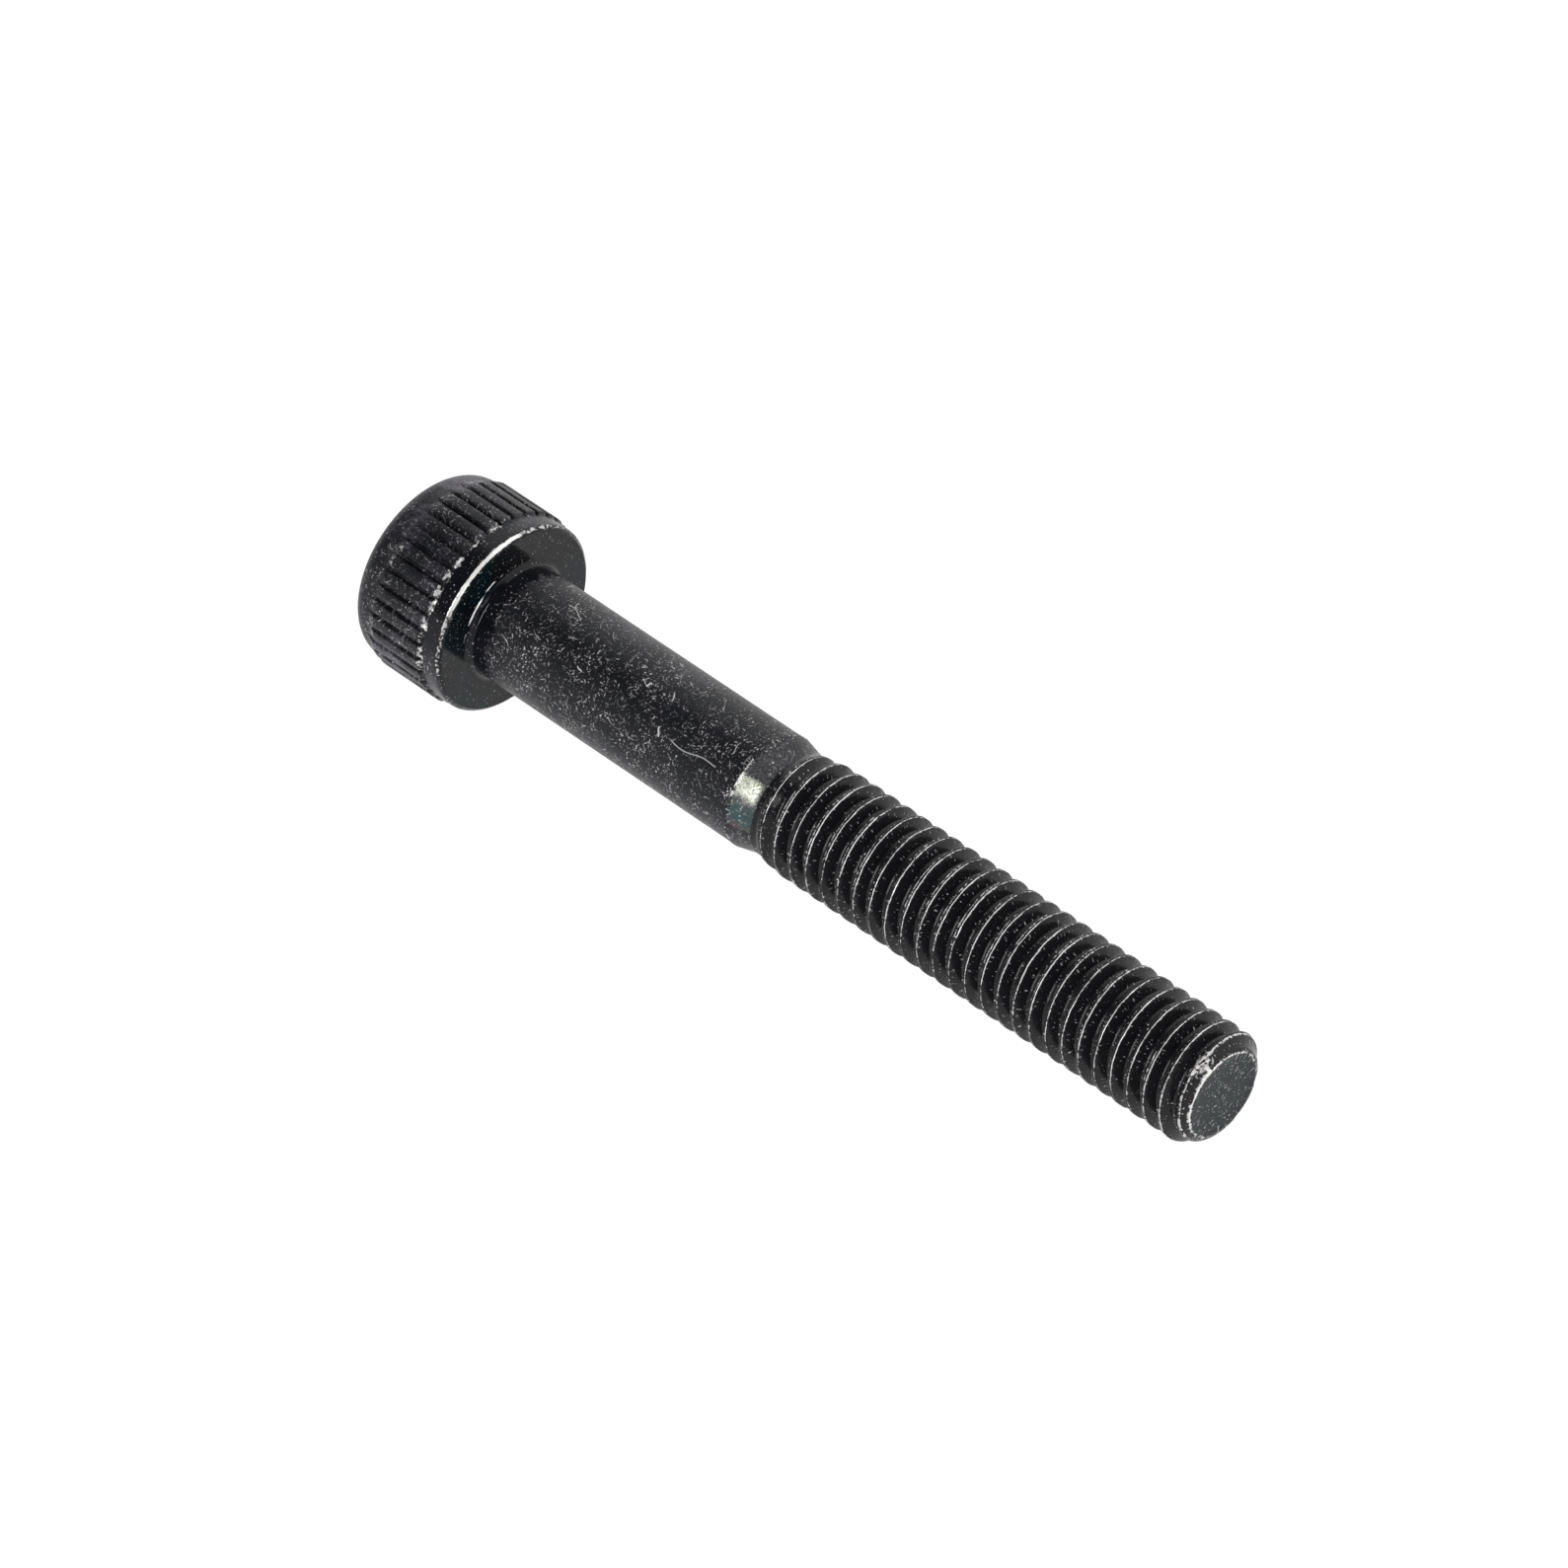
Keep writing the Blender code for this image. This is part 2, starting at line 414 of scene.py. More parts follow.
def knurl_point(x, k, v):
    """Radius and wear with painted highlight at station x, at position v of flute k."""
    ridge_angle = k * TAU / KNURL_FLUTES
    start = KNURL_START + 0.12 * wave(k * 1.9, 2) + 0.30 * smooth(math.cos(ridge_angle - FADED_KNURL_AT))
    amount = smooth((x - start + 0.3) / 0.55)
    past_end = x - KNURL_END
    burr = 0.012 * smooth((past_end + 0.35) / 0.25) * (0.5 + 0.5 * wave(k * 2.3, 4))
    r = knurl_radius(v, amount) + (0.010 * wave(x * 1.3 + k * 5.1, 6) * amount + burr * amount)
    # Painted highlight: the rubbed ends of the ridges are made much brighter on the side facing the camera.
    near = smooth(1.7 * math.cos(ridge_angle - KNURL_WEAR_HIGHLIGHT_AT) - 0.6)
    ends = smooth((past_end + 0.21) / 0.12) * (0.15 + near) + 0.55 * hump(x, start, 0.30)
    on_ridge = smooth((min(v, 1 - v) - 0.08) / 0.1)
    return min(r, KNURL_CREST_R), ends * on_ridge * (0.55 + 0.65 * wave(k * 1.7 + 3, 12))


def collar(skin, angles, places):
    """Loops from the knurl's end to the bearing face."""
    radii = [COLLAR_R + max(0.0, knurl_radius(v, 1.0) - COLLAR_R) * 0.35 for k, v in places]
    worn_and_highlit = []
    rub_and_highlight = []
    # Rubbing of the collar and of the bearing face's edge, with painted highlights made strongest on the side
    # facing the camera.
    for a in angles:
        near = smooth(1.9 * math.cos(a - KNURL_WEAR_HIGHLIGHT_AT) - 0.8)
        worn_and_highlit.append((0.12 + near) * smooth(0.5 + 0.7 * wave(a * 7.0, 14)))
        near = near_to(a, EDGE_WEAR_HIGHLIGHT_AT) ** 8
        rub_and_highlight.append(0.18 + 0.92 * near + 0.20 * wave(a * 3.0, 10) + 0.12 * wave(a * 15.0, 3))
    loops = [
        skin.ring(KNURL_END, radii, angles, [1.1 * w for w in worn_and_highlit]),
        skin.ring(KNURL_END + 0.08, COLLAR_R + 0.004, angles, [0.7 * w for w in worn_and_highlit]),
    ]
    for x in (-0.95, -0.5, -0.29):
        loops.append(skin.ring(x, COLLAR_R, angles))
    ragged = [0.012 * wave(a * 9.0, 8) for a in angles]
    for x, drop, rough, worn_and_highlit in (
        (-0.24, 0.004, 0.3, 0.35),
        (-0.20, 0.016, 0.8, 1.15),
        (-0.15, 0.045, 1.0, 1.25),
        (-0.09, 0.095, 1.0, 1.25),
        (-0.05, 0.145, 1.0, 0.3),
    ):
        radii = [COLLAR_R - drop + g * rough for g in ragged]
        loops.append(skin.ring(x, radii, angles, [worn_and_highlit * w for w in rub_and_highlight]))
    loops.append(skin.ring(0.0, COLLAR_R - 0.21, angles))
    return loops


def head(skin):
    """The head's side; returns its first loop, on the top face, and its last, on the bearing face."""
    angles = []
    places = []
    for k in range(KNURL_FLUTES):
        for v in FLUTE_STEPS:
            angles.append((k + v) * TAU / KNURL_FLUTES)
            places.append((k, v))
    loops = []
    for k in range(11):
        a = math.radians(9 * k)
        x = -HEAD_HEIGHT + TOP_ROUND * (1 - math.cos(a))
        r = HEAD_BODY_R - TOP_ROUND * (1 - math.sin(a))
        loops.append(skin.ring(x, r, angles))
    for x in KNURL_STATIONS:
        points = [knurl_point(x, k, v) for k, v in places]
        loops.append(skin.ring(x, [r for r, w in points], angles, [w for r, w in points]))
    loops += collar(skin, angles, places)
    for a, b in zip(loops, loops[1:]):
        skin.band(a, b)
    return loops[0], loops[-1]


def hexagon(skin, x, steps):
    corner = HEX_AF / 2 / math.cos(math.pi / 6)
    out = []
    for side in range(6):
        a0 = side * math.pi / 3
        a1 = a0 + math.pi / 3
        for k in range(steps):
            t = k / steps
            y = corner * ((1 - t) * math.cos(a0) + t * math.cos(a1))
            z = corner * ((1 - t) * math.sin(a0) + t * math.sin(a1))
            out.append(skin.add(x, math.hypot(y, z), math.atan2(z, y)))
    return out


def socket(skin, top_loop):
    skin.chart = "top"
    steps = 16
    even = [TAU * k / (6 * steps) for k in range(6 * steps)]
    top = -HEAD_HEIGHT
    mouth = skin.ring(top, HEX_MOUTH_R + 0.03, even)
    lip = skin.ring(top + 0.02, HEX_MOUTH_R, even, [0.28 + 0.40 * wave(a * 4.0, 4) for a in even])
    throat = hexagon(skin, top + 0.22, steps)
    middle = hexagon(skin, top + 1.6, steps)
    corner = hexagon(skin, top + HEX_DEPTH - 0.03, steps)
    floor_edge = skin.ring(top + HEX_DEPTH, 2.42, even)
    floor = skin.ring(top + HEX_DEPTH + 0.05, 2.30, even)
    deep = skin.ring(top + HEX_DEPTH + 0.45, 0.6, even)
    skin.annulus(mouth, top_loop)
    skin.band(lip, mouth)
    skin.chart = "hex"
    for a, b in ((throat, lip), (middle, throat), (corner, middle)):
        skin.band(a, b)
    skin.chart = "floor"
    skin.band(floor_edge, corner)
    skin.band(floor, floor_edge)
    skin.band(deep, floor)
    tip = skin.add(top + HEX_DEPTH + 0.5, 0.0, 0.0)
    for k in range(len(deep)):
        skin.face(deep[k], tip, deep[(k + 1) % len(deep)])


def shank(skin, bearing_loop):
    angles = [TAU * (k + 0.5) / SHANK_COLUMNS for k in range(SHANK_COLUMNS)]
    columns = []
    for a in angles:
        rows = shank_rows(a) + thread_rows(a) + point_rows(a)
        columns.append([skin.add(x, r, a, w) for x, r, w in rows])
    skin.chart = "shank"
    for k in range(SHANK_COLUMNS):
        skin.stitch(columns[k], columns[(k + 1) % SHANK_COLUMNS])
    skin.chart = "bearing"
    skin.annulus(bearing_loop, [c[0] for c in columns])
    skin.chart = "point"
    rim = [c[-1] for c in columns]
    inner = skin.ring(LENGTH - 0.022, 1.0, angles)
    skin.band(rim, inner)
    middle = skin.add(LENGTH - 0.022, 0.0, 0.0)
    for k in range(SHANK_COLUMNS):
        skin.face(inner[k], inner[(k + 1) % SHANK_COLUMNS], middle)


def make_screw():
    skin = Skin()
    top_loop, bearing_loop = head(skin)
    socket(skin, top_loop)
    shank(skin, bearing_loop)
    mesh = skin.mesh("cap_screw_skin")
    mesh.shade_smooth()
    mesh.set_sharp_from_angle(angle=math.radians(32))
    screw = bpy.data.objects.new("cap_screw_skin", mesh)
    bpy.context.collection.objects.link(screw)
    return screw


# ---------------------------------------------------------------- material


class Nodes:
    """Short spelling for building a node tree."""

    def __init__(self, tree):
        self.tree = tree

    def new(self, kind, **values):
        node = self.tree.nodes.new(kind)
        for key, value in values.items():
            setattr(node, key, value)
        return node

    def link(self, a, b):
        self.tree.links.new(a, b)

    def put(self, socket, value):
        if hasattr(value, "is_output"):
            self.link(value, socket)
        else:
            socket.default_value = value

    def math(self, op, a, b=0.0, c=0.0, clamp=False):
        node = self.new("ShaderNodeMath", operation=op, use_clamp=clamp)
        for socket, value in zip(node.inputs, (a, b, c)):
            self.put(socket, value)
        return node.outputs[0]

    def span(self, value, low, high, to_low=0.0, to_high=1.0, kind="SMOOTHSTEP"):
        node = self.new("ShaderNodeMapRange", interpolation_type=kind)
        for socket, v in zip(node.inputs[:5], (value, low, high, to_low, to_high)):
            self.put(socket, v)
        return node.outputs[0]

    def mix(self, share, a, b):
        node = self.new("ShaderNodeMix", data_type="RGBA")
        self.put(node.inputs["Factor"], share)
        self.put(node.inputs[6], a)
        self.put(node.inputs[7], b)
        return node.outputs[2]

    def noise(self, where, scale, detail=2.0, rough=0.5):
        node = self.new("ShaderNodeTexNoise")
        self.link(where, node.inputs["Vector"])
        node.inputs["Scale"].default_value = scale
        node.inputs["Detail"].default_value = detail
        node.inputs["Roughness"].default_value = rough
        return node.outputs["Fac"]

    def stray(self, noise, low, high):
        """A noise stretched to values from low to high."""
        return self.span(noise, 0.3, 0.7, low, high, "LINEAR")

    def scaled(self, vector, factor):
        node = self.new("ShaderNodeVectorMath", operation="SCALE")
        self.link(vector, node.inputs[0])
        node.inputs["Scale"].default_value = factor
        return node.outputs[0]

    def specks(self, where, scale, keep, size):
        """Round specks: about `keep` of the cells hold one, up to `size` millimetres in radius."""
        cells = self.new("ShaderNodeTexVoronoi", voronoi_dimensions="2D", feature="F1")
        self.link(where, cells.inputs["Vector"])
        cells.inputs["Scale"].default_value = scale
        pick = self.new("ShaderNodeSeparateColor")
        self.link(cells.outputs["Color"], pick.inputs[0])
        reach = self.span(pick.outputs[0], 1 - keep, 1.0, 0.0, size * scale, "LINEAR")
        mark = self.span(cells.outputs["Distance"], self.math("MULTIPLY", reach, 0.45), reach, 1.0, 0.0)
        strong = self.span(self.math("POWER", pick.outputs[1], 2.0), 0.0, 1.0, 0.25, 1.0, "LINEAR")
        return self.math("MULTIPLY", mark, strong)

    def strokes(self, where, scale, keep, long, wide, bend):
        """Short curved fibres, one at most in a cell, each turned its own way."""
        cells = self.new("ShaderNodeTexVoronoi", voronoi_dimensions="2D", feature="F1")
        self.link(where, cells.inputs["Vector"])
        cells.inputs["Scale"].default_value = scale
        cells.inputs["Randomness"].default_value = 0.8
        pick = self.new("ShaderNodeSeparateColor")
        self.link(cells.outputs["Color"], pick.inputs[0])
        off = self.new("ShaderNodeVectorMath", operation="SUBTRACT")
        self.link(where, off.inputs[0])
        self.link(cells.outputs["Position"], off.inputs[1])
        turned = self.new("ShaderNodeVectorRotate", rotation_type="Z_AXIS")
        self.link(off.outputs[0], turned.inputs["Vector"])
        self.link(self.math("MULTIPLY", pick.outputs[0], TAU), turned.inputs["Angle"])
        part = self.new("ShaderNodeSeparateXYZ")
        self.link(turned.outputs[0], part.inputs[0])
        along = part.outputs[0]
        squared = self.math("MULTIPLY", along, along)
        curve = self.math("MULTIPLY", squared, self.span(pick.outputs[1], 0, 1, -bend, bend, "LINEAR"))
        across = self.math("ABSOLUTE", self.math("ADD", part.outputs[1], curve))
        length = self.span(pick.outputs[2], 1 - keep, 1.0, 0.0, long, "LINEAR")
        ends = self.span(self.math("ABSOLUTE", along), self.math("MULTIPLY", length, 0.7), length, 1.0, 0.0)
        body = self.span(across, wide * 0.4, wide, 1.0, 0.0)
        chance = self.math("FRACT", self.math("MULTIPLY", pick.outputs[1], 7.3))
        strong = self.span(self.math("POWER", chance, 2.5), 0.0, 1.0, 0.22, 1.0, "LINEAR")
        return self.math("MULTIPLY", self.math("MULTIPLY", ends, body), strong)

    def mark(self, where, u, v, angle, long, wide, bend):
        """One fibre at a given place on the flat sheet."""
        off = self.new("ShaderNodeVectorMath", operation="SUBTRACT")
        self.link(where, off.inputs[0])
        off.inputs[1].default_value = (u, v, 0)
        turned = self.new("ShaderNodeVectorRotate", rotation_type="Z_AXIS")
        self.link(off.outputs[0], turned.inputs["Vector"])
        turned.inputs["Angle"].default_value = -angle
        part = self.new("ShaderNodeSeparateXYZ")
        self.link(turned.outputs[0], part.inputs[0])
        along, over = part.outputs[0], part.outputs[1]
        swing = self.math("SINE", self.math("MULTIPLY", along, 4.0 / long))
        snake = self.math("MULTIPLY", swing, 0.05 * long)
        arc = self.math("ADD", self.times(along, along, bend), snake)
        across = self.math("ABSOLUTE", self.math("ADD", over, arc))
        ends = self.span(self.math("ABSOLUTE", along), long * 0.85, long, 1.0, 0.0)
        return self.math("MULTIPLY", ends, self.span(across, wide * 0.4, wide, 1.0, 0.0))

    def most(self, *values):
        out = values[0]
        for value in values[1:]:
            out = self.math("MAXIMUM", out, value)
        return out

    def times(self, *values):
        out = values[0]
        for value in values[1:]:
            out = self.math("MULTIPLY", out, value)
        return out


# Larger fibres: millimetres along the shank, degrees round it from VIEWED, lean in degrees, half length,
# width, bend, strength.
MARKS = (
    (13.9, 11.0, -4.0, 1.5, 0.036, 0.02, 0.55),
    (11.7, 11.0, 62.0, 0.26, 0.055, 0.3, 0.9),
    (3.9, -43.0, 40.0, 0.60, 0.036, 0.4, 0.6),
    (9.8, -20.0, -70.0, 0.16, 0.055, 0.0, 1.0),
    (6.3, 4.0, 15.0, 0.20, 0.040, 0.8, 0.8),
    (15.6, -16.0, 80.0, 0.35, 0.030, 0.5, 0.6),
)


OXIDE_DARK = (0.0035, 0.0045, 0.0062, 1)
OXIDE_LIGHT = (0.0075, 0.0076, 0.0098, 1)
THREAD_OXIDE = (0.0170, 0.0165, 0.0175, 1)
UNDERHEAD_OXIDE = (0.0045, 0.0050, 0.0058, 1)
COOL_OXIDE = (0.002, 0.010, 0.013, 1)
FILM_AND_SHEEN_GREY = (0.104, 0.098, 0.118, 1)
NECK_GREY_SHEEN = (0.085, 0.085, 0.092, 1)
NECK_TEAL_SHEEN = (0.036, 0.078, 0.078, 1)
NECK_PLUM_SHEEN = (0.080, 0.042, 0.048, 1)
NECK_HIGHLIGHT = (0.190, 0.200, 0.165, 1)
DUST_WHITE = (0.66, 0.65, 0.66, 1)
RUBBED_STEEL_HIGHLIGHT = (0.60, 0.59, 0.58, 1)
BRIGHT_STEEL_HIGHLIGHT = (0.95, 0.94, 0.92, 1)


class BlackOxide:
    """The screw's one material. Each method makes one section of its nodes, in the order used below."""

    def __init__(self):
        self.material = bpy.data.materials.new("black_oxide_steel_look")
        self.material.use_nodes = True
        self.n = Nodes(self.material.node_tree)
        self.shader = self.material.node_tree.nodes["Principled BSDF"]
        self.find_place()
        self.find_zones()
        self.dust = self.make_dust()
        self.film_and_sheen = self.make_film_and_sheen()
        self.find_wear_and_highlights()
        self.find_tints()
        self.streak = self.make_streaks()
        self.set_colour()
        self.set_metal()
        self.set_roughness()
        self.set_relief()

    def find_place(self):
        """Where a point lies, on the screw and on the flat sheet, its wear with painted highlight, and three
        noises.
        """
        n = self.n
        self.mm = n.scaled(n.new("ShaderNodeTexCoord").outputs["Object"], 1 / MM)
        self.sheet = n.scaled(n.new("ShaderNodeUVMap", uv_map="OFBake").outputs[0], SHEET)
        split = n.new("ShaderNodeSeparateXYZ")
        n.link(self.mm, split.inputs[0])
        self.x = n.math("ADD", split.outputs[0], CENTRE_X)
        y, z = split.outputs[1], split.outputs[2]
        self.turn = n.math("ARCTAN2", z, y)
        self.radius = n.math("SQRT", n.math("ADD", n.times(y, y), n.times(z, z)))
        self.wear_and_highlight = n.new("ShaderNodeAttribute", attribute_name="wear_and_highlight").outputs["Fac"]
        self.cloud = n.noise(self.mm, 0.55, 4.0, 0.6)
        self.patch = n.noise(self.mm, 1.7, 3.0, 0.6)
        self.grain = n.noise(self.mm, 9.0, 3.0, 0.65)

    def find_zones(self):
        """The shank, head, point and thread, and the sides that face away from the camera."""
        n = self.n
        x = self.x
        start = n.math("ADD", x, n.stray(self.patch, -0.25, 0.25))
        end = n.math("ADD", x, n.stray(self.grain, -0.35, 0.35))
        self.on_shank = n.times(
            n.span(start, 0.9, 1.15),
            n.span(end, NECK_AT - 0.8, NECK_AT, 1.0, 0.5),
            n.span(x, NECK_AT - 0.05, NECK_AT + 0.1, 1.0, 0.0),
        )
        self.facing = n.math("SUBTRACT", self.turn, math.radians(VIEWED))
        self.aside = n.span(n.math("COSINE", self.facing), 0.80, 0.60)
        # The collar counts as head only on the sides facing away from the camera, so the head's dust, film
        # and painted sheen go there.
        self.on_head = n.most(
            n.span(x, KNURL_END - 0.15, KNURL_END + 0.15, 1.0, 0.0),
            n.times(n.span(x, -0.12, -0.06, 1.0, 0.0), self.aside),
        )
        rim = n.span(x, LENGTH - 0.1, LENGTH - 0.05)
        self.on_point = n.times(rim, n.span(self.radius, POINT_R - 0.05, POINT_R - 0.2))
        self.on_thread = n.span(x, NECK_AT, NECK_AT + 0.3)

    def dots(self):
        n = self.n
        return n.most(
            n.specks(self.sheet, 2.1, 0.60, 0.078),
            n.specks(self.sheet, 3.7, 0.55, 0.052),
            n.specks(n.scaled(self.sheet, -1.0), 4.3, 0.50, 0.046),
            n.times(n.specks(self.sheet, 6.5, 0.30, 0.034), 0.7),
        )

    def fibres(self):
        n = self.n
        return n.most(
            n.strokes(self.sheet, 0.95, 0.70, 0.45, 0.034, 0.8),
            n.strokes(self.sheet, 1.9, 0.65, 0.20, 0.032, 1.0),
            n.strokes(self.sheet, 3.3, 0.7, 0.11, 0.027, 0.5),
            n.strokes(n.scaled(self.sheet, -1.0), 2.6, 0.6, 0.13, 0.028, 1.0),
        )

    def large_fibre(self, at, round_by, lean, long, wide, bend, strong):
        """One of MARKS."""
        n = self.n
        _, u, v, radius = CHARTS["shank"]
        over = v + radius * math.radians(VIEWED + round_by)
        return n.times(n.mark(self.sheet, u + at, over, math.radians(lean), long, wide, bend), strong)

    def make_dust(self):
        """White specks and fibres: many on the shank, fewer on the head, thread and point."""
        n = self.n
        sheet = self.sheet
        dots = self.dots()
        fibres = self.fibres()
        large = n.most(*[self.large_fibre(*mark) for mark in MARKS])
        clump = n.strokes(n.scaled(sheet, 1.3), 3.9, 0.9, 0.13, 0.030, 1.5)
        clump = n.times(clump, n.span(self.patch, 0.54, 0.64))
        settled = n.span(self.cloud, 0.42, 0.58, 0.14, 0.60)
        settled = n.math("ADD", settled, n.span(self.patch, 0.42, 0.62, 0.0, 0.62))
        off_head = n.math("SUBTRACT", 1.0, self.on_head)
        shank_dust = n.most(n.times(n.most(dots, fibres), settled), n.times(clump, 0.8), large)
        head_dust = n.times(n.most(dots, n.times(fibres, 0.7)), 0.7, settled)
        thread_dust = n.most(n.specks(sheet, 2.3, 0.5, 0.066), n.specks(sheet, 4.3, 0.6, 0.044))
        point_dust = n.most(
            n.strokes(sheet, 1.7, 0.85, 0.17, 0.034, 0.5),
            n.strokes(n.scaled(sheet, -1.0), 2.9, 0.75, 0.12, 0.030, 0.5),
            n.times(n.specks(sheet, 3.7, 0.5, 0.045), 0.8),
        )
        return n.most(
            n.times(shank_dust, self.on_shank),
            n.times(head_dust, self.on_head),
            n.times(point_dust, self.on_point),
            n.times(
                thread_dust,
                off_head,
                n.math("SUBTRACT", 1.0, self.on_shank),
                n.span(self.x, NECK_AT - 0.1, NECK_AT + 0.1, 0.6, 0.95),
            ),
        )

    def make_film_and_sheen(self):
        """A thin grey film in smears, with painted sheen: lighter on the sides that face away from the
        camera.
        """
        n = self.n
        drift = n.noise(self.mm, 0.30, 5.0, 0.62)
        smear = n.times(n.span(drift, 0.46, 0.66), n.span(self.patch, 0.35, 0.65, 0.3, 1.0))
        # Painted sheen: the film is made up to 2.3 times stronger on the sides facing away from the camera.
        sheen_sides = n.span(self.aside, 0.0, 1.0, 0.65, 2.3, "LINEAR")
        return n.times(
            n.most(n.times(self.on_shank, 0.42), n.times(self.on_head, 1.7), n.times(self.on_point, 0.03)),
            sheen_sides,
            n.math("ADD", 0.03, smear),
            n.span(self.grain, 0.35, 0.65, 0.25, 1.0),
        )

    def find_wear_and_highlights(self):
        """Where the oxide is rubbed through and where highlights are painted, and where these are strongest.
        """
        n = self.n
        self.fine = n.noise(self.mm, 6.0, 2.0, 0.6)
        self.rubbed_and_highlit = n.span(n.math("ADD", self.wear_and_highlight, n.stray(self.fine, -0.65, 0.36)), 0.25, 0.70)
        self.strong = n.span(self.wear_and_highlight, 0.75, 1.15)

    def find_tints(self):
        """The neck with its painted highlight, then teal and plum painted sheen, set one after another by
        their angle to the camera, and the face under the head.
        """
        n = self.n
        x = self.x
        start = n.math("ADD", x, n.stray(self.grain, -0.12, 0.12))
        start = n.span(start, LIP_AT + 0.02, LIP_AT + 0.10)
        neck = n.times(start, n.span(x, NECK_AT - 0.05, NECK_AT + 0.1, 1.0, 0.0))
        facing = n.math("ADD", self.facing, n.stray(self.grain, -0.10, 0.10))
        facing = n.math("ADD", facing, n.stray(self.patch, -0.10, 0.10))
        # Painted highlight: a bright metallic patch on the neck where it faces the camera.
        self.neck_highlight = n.times(
            neck,
            n.span(facing, -0.08, 0.0),
            n.span(facing, 0.34, 0.46, 1.0, 0.0),
            n.span(self.grain, 0.35, 0.6, 0.6, 1.0),
        )
        # Painted sheen: teal and plum bands on the neck, placed by their angle to the camera.
        self.teal_sheen = n.times(neck, n.span(facing, 0.34, 0.48), n.span(facing, 0.80, 0.98, 1.0, 0.0))
        self.plum_sheen = n.times(neck, n.span(facing, 0.78, 0.95), n.span(facing, 1.10, 1.4, 1.0, 0.0))
        self.neck = neck
        self.neck_facing = facing
        self.under = n.times(n.span(x, -0.02, -0.005), n.span(x, 0.03, 0.05, 1.0, 0.0))
        self.cool = n.times(self.under, n.span(n.noise(self.mm, 0.33, 1.0), 0.42, 0.62))

    def make_streaks(self):
        """Fine lines that run round the neck."""
        n = self.n
        drawn = n.new("ShaderNodeVectorMath", operation="MULTIPLY")
        n.link(self.sheet, drawn.inputs[0])
        drawn.inputs[1].default_value = (4.5, 0.9, 1.0)
        return n.span(n.noise(drawn.outputs[0], 1.3, 3.0, 0.7), 0.42, 0.58, 0.10, 1.0)

    def set_colour(self):
        n = self.n
        colour = n.mix(n.span(self.cloud, 0.35, 0.65), OXIDE_DARK, OXIDE_LIGHT)
        colour = n.mix(n.times(self.on_thread, 0.5), colour, THREAD_OXIDE)
        # Grey film, with painted sheen on the sides facing away from the camera.
        colour = n.mix(n.times(self.film_and_sheen, 0.55), colour, FILM_AND_SHEEN_GREY)
        colour = n.mix(self.under, colour, UNDERHEAD_OXIDE)
        colour = n.mix(n.times(n.most(self.cool, n.times(self.on_point, 0.8)), 0.8), colour, COOL_OXIDE)
        # Painted sheen: the neck is lighter grey on one side, from 0.3 to 1.3 radians before the side facing
        # the camera.
        grey_sheen = n.times(
            self.neck,
            n.span(self.neck_facing, -1.3, -0.3),
            n.span(self.grain, 0.35, 0.65, 0.3, 1.0),
        )
        # Painted sheen in grey, teal and plum, and a painted highlight, on the neck.
        colour = n.mix(grey_sheen, colour, NECK_GREY_SHEEN)
        colour = n.mix(n.times(self.teal_sheen, self.streak), colour, NECK_TEAL_SHEEN)
        colour = n.mix(n.times(self.plum_sheen, self.streak), colour, NECK_PLUM_SHEEN)
        colour = n.mix(self.neck_highlight, colour, NECK_HIGHLIGHT)
        colour = n.mix(self.dust, colour, DUST_WHITE)
        # Bare steel where the oxide is rubbed through; near white where the wear value is highest, which is
        # mostly painted highlight.
        shine = n.mix(self.strong, RUBBED_STEEL_HIGHLIGHT, BRIGHT_STEEL_HIGHLIGHT)
        n.link(n.mix(self.rubbed_and_highlit, colour, shine), self.shader.inputs["Base Color"])

    def set_metal(self):
        """Metal where the oxide is thin or gone, on the painted highlights, and on the neck's painted
        highlight and teal painted sheen, less so under dust.
        """
        n = self.n
        bare = n.most(
            n.times(self.rubbed_and_highlit, n.span(self.strong, 0.0, 1.0, 0.5, 0.25)),
            n.times(self.neck_highlight, 0.9),
            n.times(self.teal_sheen, self.streak, 0.5),
        )
        clean = n.math("SUBTRACT", 1.0, n.times(self.dust, 0.8))
        n.link(n.times(bare, clean), self.shader.inputs["Metallic"])

    def set_roughness(self):
        n = self.n
        rough = n.math("ADD", 0.10, n.times(self.on_shank, 0.29))
        head_rough = n.span(self.x, KNURL_END - 0.05, KNURL_END + 0.15, 0.29, 0.20)
        rough = n.math("ADD", rough, n.times(self.on_head, head_rough))
        rough = n.math("ADD", rough, n.times(self.on_thread, 0.06))
        rough = n.math("ADD", rough, n.times(self.neck_highlight, -0.08))
        rough = n.math("ADD", rough, n.times(self.on_point, 0.14))
        rough = n.math("ADD", rough, n.stray(self.patch, -0.04, 0.06))
        rough = n.math("ADD", rough, n.times(self.rubbed_and_highlit, 0.12))
        rough = n.math("ADD", rough, n.times(self.dust, 0.5), clamp=True)
        n.link(rough, self.shader.inputs["Roughness"])
        self.shader.inputs["IOR"].default_value = 1.285

    def set_relief(self):
        """The oxide's grain, strong on the head, and the scratches of the worn places and painted highlights.
        """
        n = self.n
        bump = n.new("ShaderNodeBump")
        bump.inputs["Strength"].default_value = 0.35
        bump.inputs["Distance"].default_value = 0.00002
        coarse = n.times(self.grain, n.span(self.x, KNURL_END - 0.15, KNURL_END + 0.15, 0.95, 0.15))
        height = n.math("ADD", coarse, n.times(self.strong, self.fine))
        n.link(height, bump.inputs["Height"])
        n.link(bump.outputs[0], self.shader.inputs["Normal"])


# ---------------------------------------------------------------- stage, lights and camera


FLOOR_SIZE = 3.0
FLOOR_GAP = 0.00005

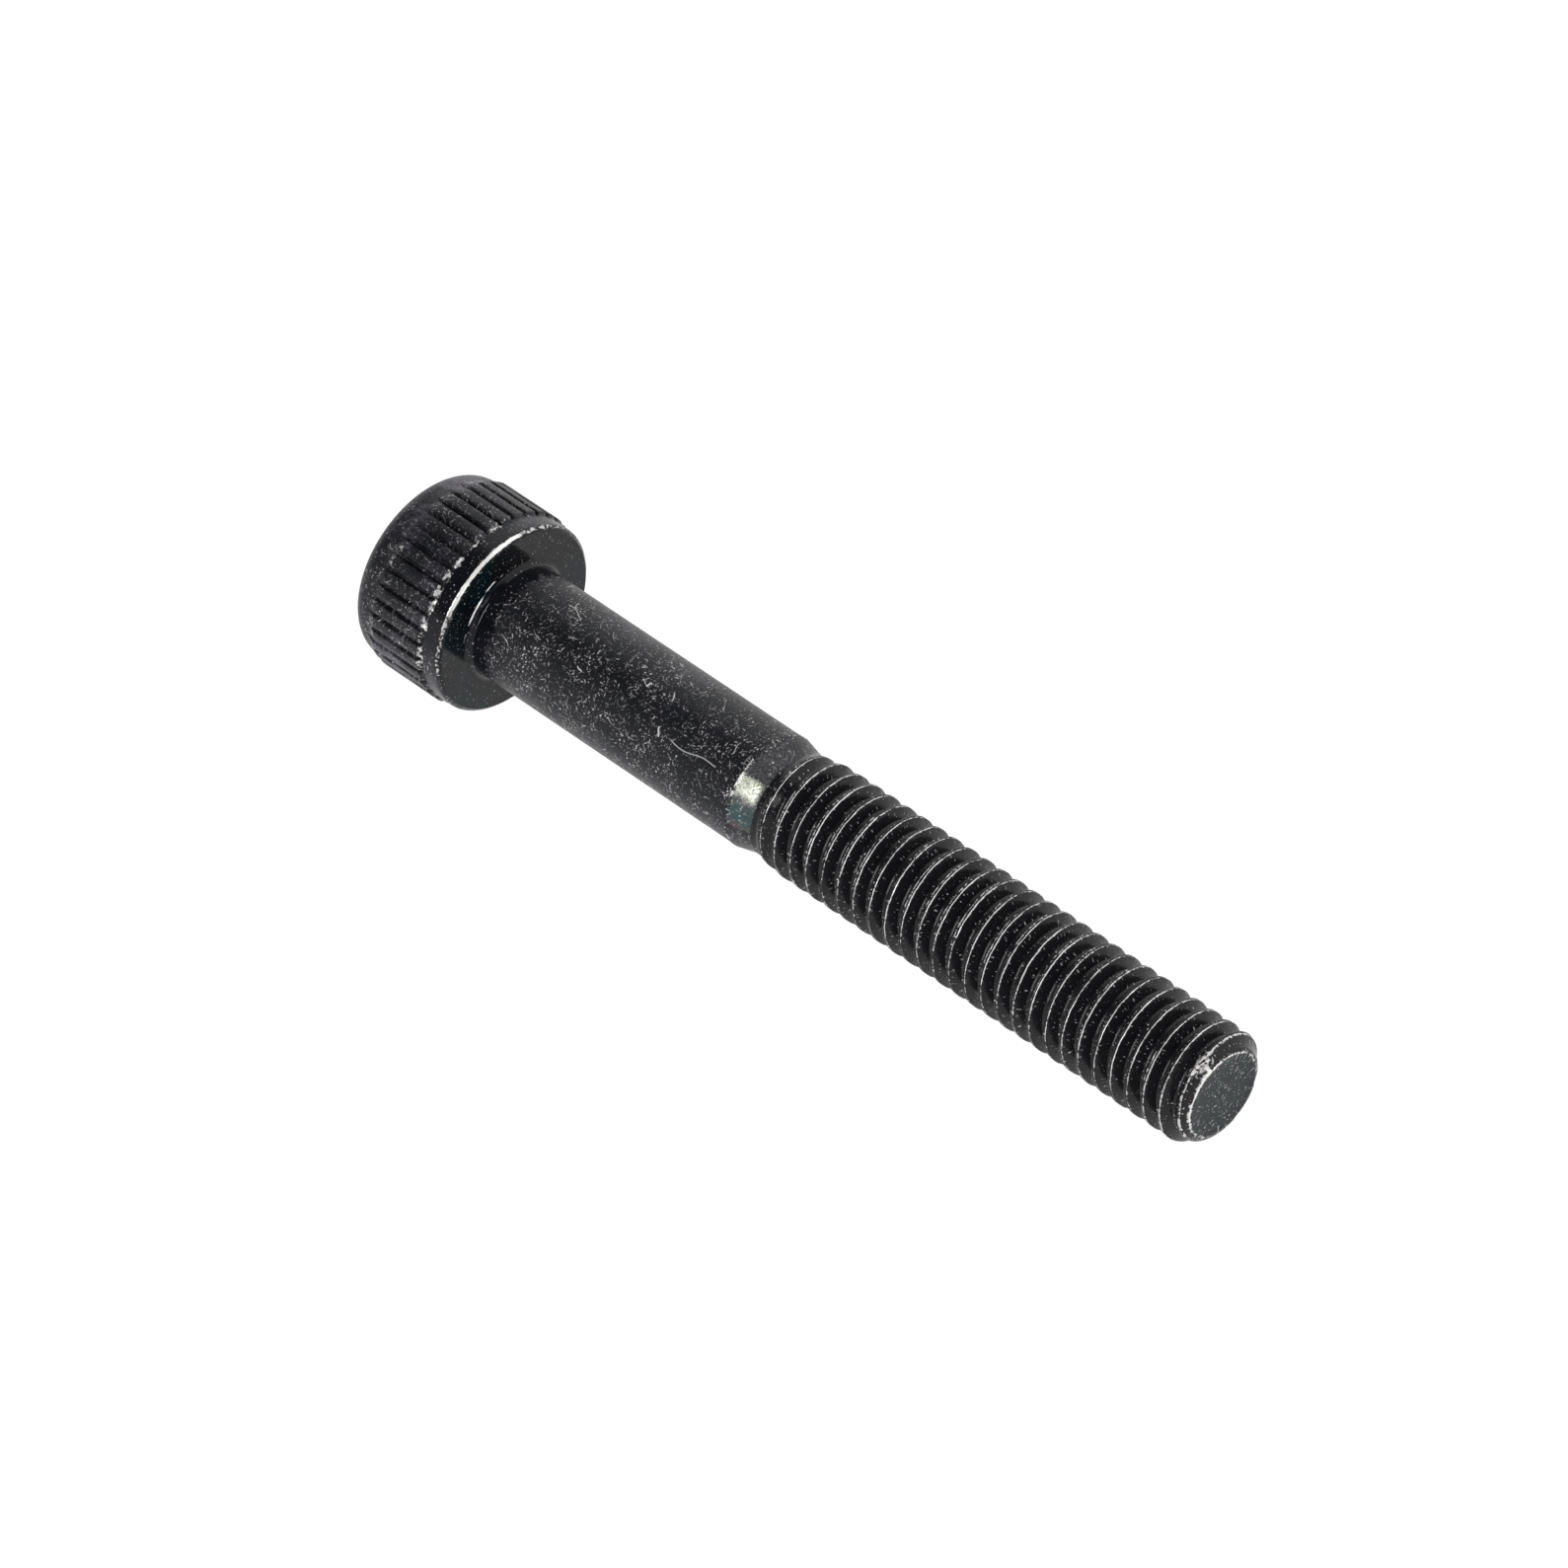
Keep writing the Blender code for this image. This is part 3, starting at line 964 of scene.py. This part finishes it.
CAMERA_LENS = 266.5
CAMERA_AZIMUTH = 44.616
CAMERA_ELEVATION = 42.678
CAMERA_DISTANCE = 0.52866
CAMERA_TARGET = Vector((-0.00176, -0.00014, 0.00123))


def stage_floor(level):
    bm = bmesh.new()
    bmesh.ops.create_grid(bm, x_segments=1, y_segments=1, size=FLOOR_SIZE / 2)
    mesh = bpy.data.meshes.new("floor")
    bm.to_mesh(mesh)
    bm.free()
    floor = bpy.data.objects.new("floor", mesh)
    floor.location = (0, 0, level - FLOOR_GAP)
    bpy.context.collection.objects.link(floor)
    mat = bpy.data.materials.new("pale_floor")
    mat.use_nodes = True
    shader = mat.node_tree.nodes["Principled BSDF"]
    shader.inputs["Base Color"].default_value = (0.08, 0.08, 0.08, 1)
    shader.inputs["Roughness"].default_value = 1.0
    shader.inputs["Specular IOR Level"].default_value = 0.0
    shader.inputs["Emission Color"].default_value = (1, 1, 1, 1)
    shader.inputs["Emission Strength"].default_value = 1.0
    mesh.materials.append(mat)


def direction(azimuth, elevation):
    """Unit vector at these degrees; azimuth 0 is along -Y and goes towards +X."""
    a = math.radians(azimuth)
    e = math.radians(elevation)
    return Vector((math.sin(a) * math.cos(e), -math.cos(a) * math.cos(e), math.sin(e)))


def set_up(name, data, target, back, distance):
    """Puts a light or a camera at a distance from the target, looking at it."""
    thing = bpy.data.objects.new(name, data)
    thing.location = target + back * distance
    thing.rotation_mode = "QUATERNION"
    thing.rotation_quaternion = back.to_track_quat("Z", "Y")
    bpy.context.collection.objects.link(thing)
    return thing


def area_light(name, azimuth, elevation, distance, wide, tall, power):
    light = bpy.data.lights.new(name, "AREA")
    light.shape = "RECTANGLE"
    light.size = wide
    light.size_y = tall
    light.energy = power
    set_up(name, light, Vector((0, 0, 0)), direction(azimuth, elevation), distance)


def studio():
    """A pale room, dark behind the camera, with one soft light there and a weaker one at its right."""
    world = bpy.data.worlds.new("studio")
    bpy.context.scene.world = world
    world.use_nodes = True
    n = Nodes(world.node_tree)
    sky = world.node_tree.nodes["Background"]
    toward = n.new("ShaderNodeSeparateXYZ")
    n.link(n.new("ShaderNodeTexCoord").outputs["Generated"], toward.inputs[0])
    low = n.span(toward.outputs[2], 0.08, 0.22, 1.0, 0.04)
    back = n.span(toward.outputs[1], 0.0, 0.32, 0.04, 1.40)
    sky.inputs["Color"].default_value = (1, 1, 1, 1)
    n.link(n.math("MAXIMUM", low, back), sky.inputs["Strength"])
    area_light("key", -5.3, 32.0, 0.55, 0.19, 0.38, 2.0)
    area_light("side", 69.0, 24.0, 0.6, 0.16, 0.16, 0.35)


def camera():
    data = bpy.data.cameras.new("camera")
    data.lens = CAMERA_LENS
    data.sensor_width = 36.0
    data.clip_start = 0.01
    data.clip_end = 20.0
    back = direction(CAMERA_AZIMUTH, CAMERA_ELEVATION)
    bpy.context.scene.camera = set_up("camera", data, CAMERA_TARGET, back, CAMERA_DISTANCE)


screw = make_screw()
screw.data.materials.append(BlackOxide().material)
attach(screw, "root")
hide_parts("socket_head_cap_screw")
stage_floor(cad_lo[2])
studio()
camera()
bpy.context.scene.view_settings.view_transform = "Standard"
